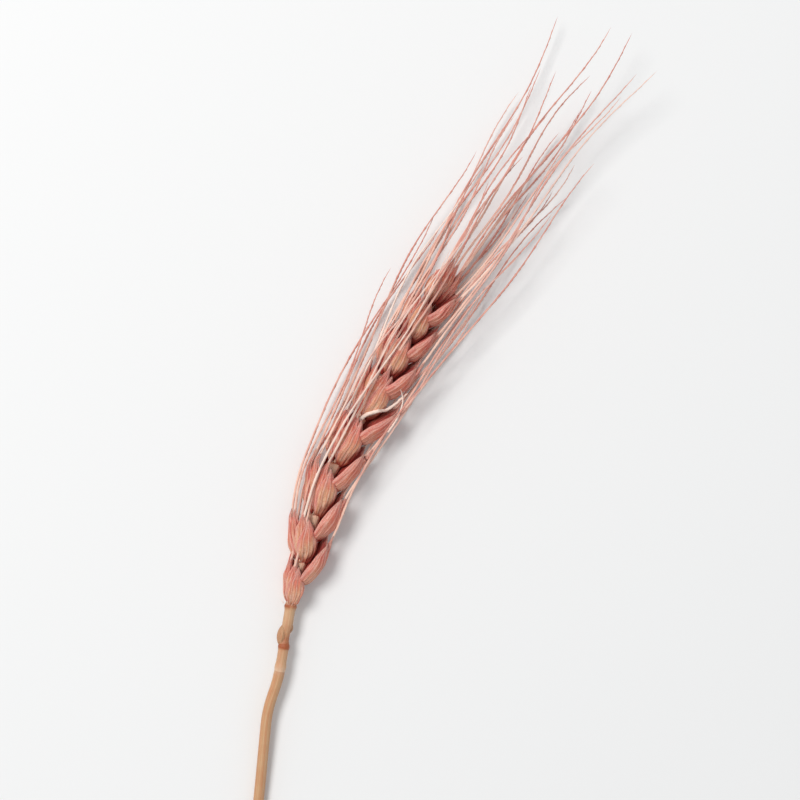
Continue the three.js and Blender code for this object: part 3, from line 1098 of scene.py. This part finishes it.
# %% Parts of one spikelet
FLORETS = [
    {"out": 0.4 * MM, "up": 0.8 * MM, "forward": 0.2 * MM, "lean": 5, "tilt": 12, "size": 1},
    {"out": 0.4 * MM, "up": -0.8 * MM, "forward": 0.6 * MM, "lean": 5, "tilt": -12, "size": 0.97},
    {"out": 0.6 * MM, "up": 0.2 * MM, "forward": 2.4 * MM, "lean": 7, "tilt": 2, "size": 0.86},
]
FLORET_TURNS = (38, 142, 80)
AWN_LENGTHS = (62 * MM, 58 * MM, 50 * MM)
AWN_SHORTEST = 0.86
AWN_LENGTH_SPREAD = 0.28
GLUME_PLACE = {"out": -0.3 * MM, "up": 0.95 * MM, "forward": -0.3 * MM, "lean": 1, "tilt": 13}
GLUME_TURN = 15
ROSIER = 0.5
PALEST_LEMMA = 0.25


def awn_on(name, number, order, matrix, neck):
    """The awn of one floret, and the route that its neck follows too."""
    tip = matrix @ Vector((0, AWN_LEAVES, 0))
    heading = (tip - matrix.translation).normalized()
    length = AWN_LENGTHS[order] * (AWN_SHORTEST + AWN_LENGTH_SPREAD * draw(number, order + 10))
    route = awn_route(tip, heading, number, order, length)
    stretch = length / AWN_LENGTH

    def path(forward):
        return route(forward * stretch) if forward > 0 else tip + heading * forward

    copy = place_copy(awn, name, Matrix.Identity(4), draw(number, order + 60))
    lay_along(copy, path)
    for point in neck.data.vertices:
        beyond = (point.co - tip).dot(heading)
        if beyond > 0:
            point.co += route(beyond) - tip - heading * beyond
    return copy


def spikelet(number):
    """The husks and the awns of one spikelet, as two lists of objects."""
    name = f"spikelet_{number + 1:02d}"
    whole = spikelet_frame(number)
    opening = LAST_OPENING if number == SPIKELETS - 1 else 1
    husks, awns = [], []
    for order, values in enumerate(FLORETS):
        matrix = whole @ part_frame(turn=0, opening=opening, **values)
        turned = matrix @ Matrix.Rotation(FLORET_TURNS[order] * DEGREE, 4, "Y")
        tone = PALEST_LEMMA + (1 - PALEST_LEMMA) * draw(number, order + 70)
        husks.append(place_copy(lemma, f"{name}_lemma_{order}", turned, tone, number + order / 5))
        awns.append(awn_on(f"{name}_awn_{order}", number, order, matrix, husks[-1]))
        husks.append(place_copy(palea, f"{name}_palea_{order}", turned, tone))
    seat = part_frame(turn=GLUME_TURN, size=1, opening=opening, **GLUME_PLACE)
    flip = Matrix.Scale(-1, 4, (0, 0, 1))
    rosier = ROSIER if side_of(number) > 0 else 0
    for order, (glume, matrix) in enumerate(((glume_near, seat), (glume_far, flip @ seat @ flip))):
        tone = rosier + (1 - ROSIER) * draw(number, order + 80)
        seed = number + (0.7, 0.9)[order]
        husks.append(place_copy(glume, f"{name}_{glume.name}", whole @ matrix, tone, seed))
    return husks, awns


spikelets = [spikelet(number) for number in range(SPIKELETS)]
all_husks = [piece for husks, _ in spikelets for piece in husks]
print("husks:", len(all_husks), "awns:", sum(len(awns) for _, awns in spikelets))

# %% [markdown]
# ### Crumpled paper
#
# No two real husks are alike. Each is pushed about by a slow cloud of noise that depends on where
# it lies, so neighbours differ. Both sides of a wall stand close together and are pushed alike,
# which a push along the normals wouldn't do.

# %% Crumple the husks
CRUMPLE_SIZE = 3.2 * MM
CRUMPLE_DEPTH = 0.3 * MM
CRUMPLE_SHIFTS = [Vector((5.2, 1.3, 0)), Vector((0, 7.1, 2.6)), Vector((3.9, 0, 9.4))]


def crumple(piece):
    """Moves each point by three readings of noise near its own place, one for each axis."""
    for point in piece.data.vertices:
        spot = point.co / CRUMPLE_SIZE
        push = Vector([noise.noise(spot + shift) for shift in CRUMPLE_SHIFTS])
        point.co += push * CRUMPLE_DEPTH
        point.co.z = max(point.co.z, 0)


for piece in all_husks:
    crumple(piece)
print("crumpled", len(all_husks), "husks")

# %% [markdown]
# ## Stalk inside the ear
#
# The rachis is the zigzag stalk that carries the spikelets. Each stretch of it is flat, narrow at
# its foot and wide at its head, where a lip carries the next spikelet. One stretch is modelled,
# and its copies run from spikelet to spikelet.

# %% Model one stretch of rachis
STRETCH_LENGTH = 5 * MM
STRETCH_POINTS = 24
STRETCH_RIBS = 12
STRETCH_RIB = 0.06
RIB_REACH = 0.1
STRETCH_ROWS = [
    (-0.25, 0.4, 0.6), (0, 0.5, 0.75), (0.35, 0.65, 0.95), (0.7, 1.05, 1.3),
    (0.88, 1.3, 1.55), (0.97, 1.42, 1.65), (1.0, 1.42, 1.55), (1.02, 1.2, 1.25), (1.03, 0.6, 0.7),
]


def rachis_stretch():
    """A flattened stalk with a lip at its head, still open at both ends."""
    piece = start_circle("rachis_stretch", STRETCH_POINTS, MM)
    for number in range(STRETCH_RIBS):
        middle = (360 / STRETCH_RIBS * number - 180) * DEGREE
        push_out(piece, lambda point: abs(around(point) - middle) < RIB_REACH, 1 + STRETCH_RIB)
    pull_up(piece, [
        (share * STRETCH_LENGTH, 0, 0, thick * MM, wide * MM) for share, thick, wide in STRETCH_ROWS
    ])
    mode("OBJECT")
    return piece


def close_ends():
    """Fills the open ends of the tube that was just made."""
    mode("EDIT")
    bpy.ops.mesh.select_mode(type="EDGE")
    bpy.ops.mesh.select_all(action="DESELECT")
    bpy.ops.mesh.select_non_manifold()
    bpy.ops.mesh.fill_holes(sides=0)
    mode("OBJECT")


stretch = rachis_stretch()
close_ends()
wrap_uv(stretch, STRETCH_LENGTH)
write_value(stretch.data, "stain", lambda point: bell(point.y / STRETCH_LENGTH, 1.01, 0.045))
stretch.data.materials.append(RACHIS)
smooth(stretch, ANGLED_CREASE)

# %% Lay the stretches from spikelet to spikelet
STRETCH_TONE = 0.8


def rachis_node(number):
    """Point where the rachis carries a spikelet."""
    return beside(PLACES[number], side_of(number) * RACHIS_SWAY, 0)


def stretch_copy(number):
    """The stretch of rachis from one spikelet to the next."""
    start = rachis_node(number)
    onward = rachis_node(number + 1) - start
    _, _, face = directions(PLACES[number])
    side = onward.cross(face).normalized()
    matrix = from_axes(side, onward / STRETCH_LENGTH, side.cross(onward.normalized()), start)
    return place_copy(stretch, f"rachis_{number}", matrix, STRETCH_TONE)


stretches = [stretch_copy(number) for number in range(SPIKELETS - 1)]
print("stretches of rachis:", len(stretches))

# %% [markdown]
# ### Tufts of hair
#
# A short fringe of pale hairs grows from each lip, where a spikelet sits. A hair is a thin cone,
# leaning outwards, and its copies stand round the lip.

# %% Model one hair and set the tufts
HAIR_LENGTH = 1.1 * MM
HAIR_RADIUS = 0.04 * MM
HAIR_FOOT = 0.15 * MM
HAIR_LEAN = 32
HAIR_LEAN_SPREAD = 0.8
HAIR_SHORTEST = 0.6
HAIR_TONE = 0.9
HAIRS_ON_LIP = 18
LIP_ACROSS = 1.4 * MM
LIP_DEEP = 1.5 * MM


def model_hair():
    """A thin cone along +Y with its foot at the origin."""
    bpy.ops.object.select_all(action="DESELECT")
    bpy.ops.mesh.primitive_cone_add(
        vertices=4, radius1=HAIR_RADIUS, depth=HAIR_LENGTH, calc_uvs=False, rotation=(-pi / 2, 0, 0)
    )
    bpy.ops.object.transform_apply(rotation=True)
    piece = bpy.context.object
    piece.data.transform(Matrix.Translation((0, HAIR_LENGTH / 2, 0)))
    write_uv(piece, [(0.5, 0.0)] * len(piece.data.vertices))
    return piece


def tuft_on(number):
    """Hairs round the lip that carries a spikelet."""
    onward, row, face = directions(PLACES[number])
    hairs = []
    for count in range(HAIRS_ON_LIP):
        seed = number * HAIRS_ON_LIP + count
        angle = 2 * pi * (count + draw(seed, 3)) / HAIRS_ON_LIP
        out = swing(row, face, angle).normalized()
        foot = rachis_node(number) + swing(row * LIP_ACROSS, face * LIP_DEEP, angle)
        lean = HAIR_LEAN * (1 + HAIR_LEAN_SPREAD * sway(seed, 4)) * DEGREE
        upward = swing(onward, out, lean).normalized()
        side = upward.cross(face).normalized()
        matrix = from_axes(side, upward, side.cross(upward), foot - upward * HAIR_FOOT)
        matrix = matrix @ Matrix.Scale(HAIR_SHORTEST + HAIR_SHORTEST * draw(seed, 5), 4)
        hairs.append(place_copy(hair, f"hair_{seed}", matrix, HAIR_TONE))
    return hairs


hair = model_hair()
tufts = [piece for number in range(SPIKELETS) for piece in tuft_on(number)]
print("hairs:", len(tufts))

# %% [markdown]
# ## Bare stalk, bracts and straw
#
# Below the ear the stalk is bare. It has a knot with a stain and a dry bract, then a pale stretch
# down to the collar, and below the collar is the straw. Both are round and ribbed, so each is a
# ring of points with every second one drawn in, pulled up through its rings, and then laid along
# the plant's line.

# %% Model a ribbed tube and lay it along the line
TUBE_POINTS = 48
TUBE_UV_LENGTH = 60 * MM
TUBE_CREASE = 40


def rings_between(pairs, step):
    """Rings at even steps through (place, radius) pairs."""
    first, last = pairs[0][0], pairs[-1][0]
    count = max(2, round((last - first) / step))
    places = [first + (last - first) * number / count for number in range(count + 1)]
    return [(place, curve_through(pairs, place)) for place in places]


def ribbed_tube(name, rings, rib_depth):
    """A tube along +Y through (place, radius) rings, with a rib at every second point."""
    piece = start_circle(name, TUBE_POINTS, MM)
    step = 2 * pi / TUBE_POINTS
    push_out(piece, lambda point: round(around(point) / step) % 2 == 0, 1 - rib_depth)
    pull_up(piece, round_rows(rings))
    mode("OBJECT")
    return piece


def lay_tube(piece, stain, tone):
    """Marks and smooths a tube, then bends it along the plant's line. Its Y is the place there."""
    wrap_uv(piece, TUBE_UV_LENGTH)
    write_value(piece.data, "stain", stain)
    write_value(piece.data, "tone", tone)
    piece.data.materials.append(STRAW)
    smooth(piece, TUBE_CREASE)
    for point in piece.data.vertices:
        across, place, lift = point.co
        point.co = beside(place, across, lift)
        point.co.z = max(point.co.z, 0)


# %% Straw with its bore
STRAW_RINGS = [
    (STRAW_CUT, STRAW_RADIUS), (-36 * MM, STRAW_RADIUS), (-22 * MM, STRAW_RADIUS),
    (-16.6 * MM, STRAW_RADIUS), (COLLAR - 0.9 * MM, 1.13 * MM), (COLLAR - 0.35 * MM, 1.22 * MM),
    (COLLAR, 1.1 * MM),
]
STRAW_RING_STEP = 0.9 * MM
STRAW_RIB = 0.022


def cut_straw():
    """The straw: a ribbed tube that turns in at the cut and ends in a bore."""
    piece = ribbed_tube("straw", rings_between(STRAW_RINGS, STRAW_RING_STEP), STRAW_RIB)
    pick(piece, lambda point: point.y > COLLAR - SAME_PLACE)
    bpy.ops.mesh.edge_face_add()
    pick(piece, lambda point: point.y < STRAW_CUT + SAME_PLACE)
    factor = BORE_RADIUS / STRAW_RADIUS
    bpy.ops.mesh.extrude_region_move(TRANSFORM_OT_translate={"value": (0, 0, 0)})
    bpy.ops.transform.resize(value=(factor, 1, factor), center_override=(0, STRAW_CUT, 0))
    bpy.ops.mesh.extrude_region_move(TRANSFORM_OT_translate={"value": (0, BORE_DEPTH, 0)})
    bpy.ops.mesh.edge_face_add()
    bpy.ops.mesh.select_all(action="SELECT")
    bpy.ops.mesh.normals_make_consistent(inside=False)
    mode("OBJECT")
    return piece


straw = cut_straw()
lay_tube(
    straw,
    stain=lambda point: 0.3 * exp(-abs(point.y - COLLAR) / (1.2 * MM)),
    tone=lambda point: 0.5 * bell(point.y, COLLAR, 0.5 * MM),
)

# %% Bare stalk between the collar and the ear
NARROWEST = -6.9 * MM
SEAT = -0.4 * MM
FOOT_RINGS = [
    (COLLAR, 1.1 * MM), (COLLAR + 0.9 * MM, 1.2 * MM), (COLLAR + 1.8 * MM, 1.08 * MM),
    (SCAR - 1 * MM, 1.08 * MM), (SCAR, 1.2 * MM), (SCAR + 0.9 * MM, 0.88 * MM), (-6.6 * MM, 0.82 * MM),
    (-4.6 * MM, 1.08 * MM), (-1.4 * MM, 1.1 * MM), (SEAT, 1.28 * MM), (0.8 * MM, 0.7 * MM),
]
FOOT_RING_STEP = 0.35 * MM
FOOT_RIB = 0.03


def foot_stain(point):
    """Brown at the knot, on one side of the narrow stretch above it, and below the ear."""
    knot = 1.5 * bell(point.y, SCAR, 0.45 * MM)
    one_side = 0.55 + 0.45 * sin(around(point))
    narrow = 1.4 * bell(point.y, NARROWEST, 1.8 * MM) * one_side
    return knot + narrow + 0.9 * bell(point.y, SEAT, 0.5 * MM)


foot = ribbed_tube("rachis_foot", rings_between(FOOT_RINGS, FOOT_RING_STEP), FOOT_RIB)
close_ends()
lay_tube(foot, foot_stain, tone=lambda point: 0.15 + 0.6 * bell(point.y, COLLAR, MM))

# %% Bracts, and the joined stalk
BRACTS = [(SCAR, -1, 0.45, 140 * DEGREE), (-6 * MM, 1, 0.2, 40 * DEGREE)]
BRACT_TONE = 0.1
BRACT_STAIN = 0.3


def join(name, pieces, material=None):
    """Joins pieces into one object at the origin, and adds a material to it if one is given."""
    choose(pieces)
    bpy.ops.object.join()
    whole = bpy.context.object
    whole.name = name
    if material:
        whole.data.materials.append(material)
    return whole


def bract_copy(number, place, side, size, turn):
    """A small dry bract, shaped as a glume is."""
    onward, row, _ = directions(place)
    out = row * side
    matrix = from_axes(out, onward, out.cross(onward), beside(place, side * RACHIS_RADIUS, 0))
    matrix = matrix @ Matrix.Rotation(turn, 4, "Y") @ Matrix.Scale(size, 4)
    copy = place_copy(glume_near, f"bract_{number}", matrix, BRACT_TONE)
    write_value(copy.data, "stain", BRACT_STAIN)
    return copy


stalk = join("rachis", [foot, *stretches])
bract_copies = [bract_copy(number, *values) for number, values in enumerate(BRACTS)]
bracts = join("bracts", bract_copies, STRAW)
tufts = join("tufts", tufts, AWN)
tell(stalk)

# %% [markdown]
# ## How hidden each point is
#
# Dye and shadow gather where husks overlap. From each point of a husk, short rays go out over the
# half of space that it faces, and the share that meets another husk is stored as "crevice". The husk
# material paints shade, with pooled dye, into its colour by this value. It belongs to the shape, so
# it stays right from every side.

# %% Measure the crevices
RAY_REACH = 4 * MM
RAY_START = 0.12 * MM
RAY_RINGS = [(0.8, (0.3, 1.56, 2.81, 4.07, 5.33)), (0.25, (0.9, 2.16, 3.41, 4.67, 5.93))]
RAYS = [Vector((0, 0, 1))] + [
    Vector((cos(angle), sin(angle), rise)).normalized()
    for rise, angles in RAY_RINGS for angle in angles
]


def tree_of(pieces):
    """One search tree over the faces of all pieces."""
    points, faces = [], []
    for piece in pieces:
        offset = len(points)
        points.extend(point.co.copy() for point in piece.data.vertices)
        faces.extend([offset + index for index in face.vertices] for face in piece.data.polygons)
    return BVHTree.FromPolygons(points, faces)


def measure_crevices(pieces, tree):
    """Stores the share of rays from each point that meet something near."""
    for piece in pieces:
        values = []
        for point in piece.data.vertices:
            turn = point.normal.to_track_quat("Z", "Y")
            start = point.co + point.normal * RAY_START
            met = sum(tree.ray_cast(start, turn @ ray, RAY_REACH)[0] is not None for ray in RAYS)
            values.append(met / len(RAYS))
        write_value(piece.data, "crevice", values)


search = tree_of([*all_husks, stalk])
measure_crevices(all_husks, search)
print("measured", len(all_husks), "husks with", len(RAYS), "rays from each point")

# %% [markdown]
# ### A broken awn
#
# One awn snapped off and lies curled over the husks, bleached almost white, and the thin end of
# another one hooks round beside it. Both are copies of the straight awn. Each is laid along points
# of the picture, at the height of the husks below, which a ray from above finds. It is stiff, so
# it bridges the gaps between them.

# %% Lay the broken awn and the hooked end
BROKEN_AWN = [
    (360, 420), (365, 415.5), (371, 413), (378, 411), (386, 410), (394, 405), (401, 399), (408, 393),
]
HOOKED_END = [(388, 432), (395, 422), (400, 412), (402.5, 403), (402.5, 396), (400.5, 389)]
BROKEN_WIDTH = 1.7
HOOKED_WIDTH = 0.9
LIE_ABOVE = 0.3 * MM
SAG = 1.2 * MM
ABOVE_ALL = 40 * MM


def below_picture(u, v):
    """Point just above the husks, under a point of the picture in pixels."""
    point = picture_middle + from_middle(u, v)
    met = search.ray_cast(Vector((point.x, point.y, ABOVE_ALL)), Vector((0, 0, -1)))[0]
    return Vector((point.x, point.y, (met.z if met else point.z) + LIE_ABOVE))


def lay_loose_awn(name, spots, width):
    """A copy of the awn that follows points of the picture from its thick end to its tip."""
    points = [below_picture(u, v) for u, v in spots]
    top = max(point.z for point in points)
    for point in points:
        point.z = max(point.z, top - SAG)
    marks = [0.0]
    for before, after in zip(points, points[1:]):
        marks.append(marks[-1] + (after - before).length)

    def path(forward):
        distance = (forward + AWN_ROOT) / AWN_WHOLE * marks[-1]
        return Vector([
            curve_through([(mark, point[axis]) for mark, point in zip(marks, points)], distance)
            for axis in range(3)
        ])

    copy = place_copy(awn, name, Matrix.Diagonal((width, 1, width, 1)), 1.0)
    lay_along(copy, path)
    return copy


broken = lay_loose_awn("broken_awn", BROKEN_AWN, BROKEN_WIDTH)
hooked = lay_loose_awn("hooked_awn", HOOKED_END, HOOKED_WIDTH)
loose = join("loose_awns", [broken, hooked], AWN)
tell(loose)

# %% [markdown]
# ## One piece for each spikelet
#
# The husks and awns of a spikelet grow from one spot, so they become one piece. The straight
# pieces that everything was copied from aren't needed any more, and are removed.

# %% Join each spikelet
ear_pieces = []
for number, (husks, awns) in enumerate(spikelets):
    for piece in husks:
        piece.data.materials.append(HUSK)
    for piece in awns:
        piece.data.materials.append(AWN)
    ear_pieces.append(join(f"spikelet_{number + 1:02d}", [*husks, *awns]))

for source in (glume_near, glume_far, lemma, palea, awn, stretch, hair):
    bpy.data.objects.remove(source)
print("pieces of the ear:", len(ear_pieces))

# %% [markdown]
# ## Tie the pieces to the frame
#
# Nothing here moves, so all pieces ride on the one body. The straw stands for the stem solid, and
# the rest stand for the ear solid.

# %% Ride and replace
for piece in [*ear_pieces, stalk, bracts, tufts, loose]:
    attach(piece, "root")
    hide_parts("ear")
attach(straw, "root")
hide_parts("stem")
